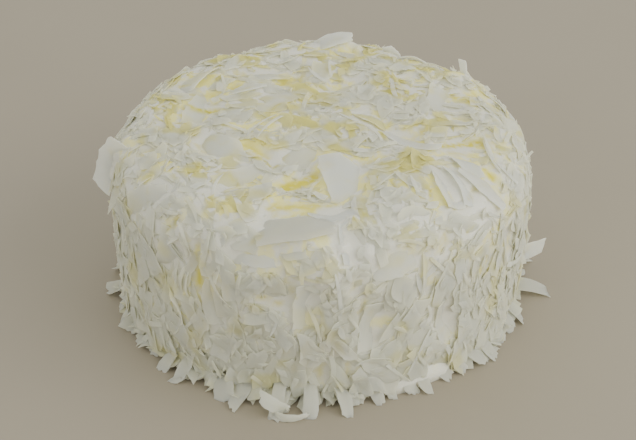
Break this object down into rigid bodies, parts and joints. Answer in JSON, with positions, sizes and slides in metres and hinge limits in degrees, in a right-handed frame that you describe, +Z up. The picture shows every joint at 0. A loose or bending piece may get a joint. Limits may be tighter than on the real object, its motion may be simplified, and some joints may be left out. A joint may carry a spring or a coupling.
{
  "type": "coconut layer cake",
  "caption": "Whole round layer cake with white icing, rounded shoulder and a coat of broad curled coconut flakes that spill out at the foot.",
  "frame": {"origin": "middle of the cake's foot, on the surface that it stands on", "axes": "+Z up through the middle of the cake, -Y towards the front as the picture shows it, +X to the right"},
  "size_m": [0.2333, 0.2298, 0.1049],
  "materials": {
    "coconut": "matte"
  },
  "bodies": {
    "root": {"coconut_cake": "coconut"}
  },
  "joints": []
}
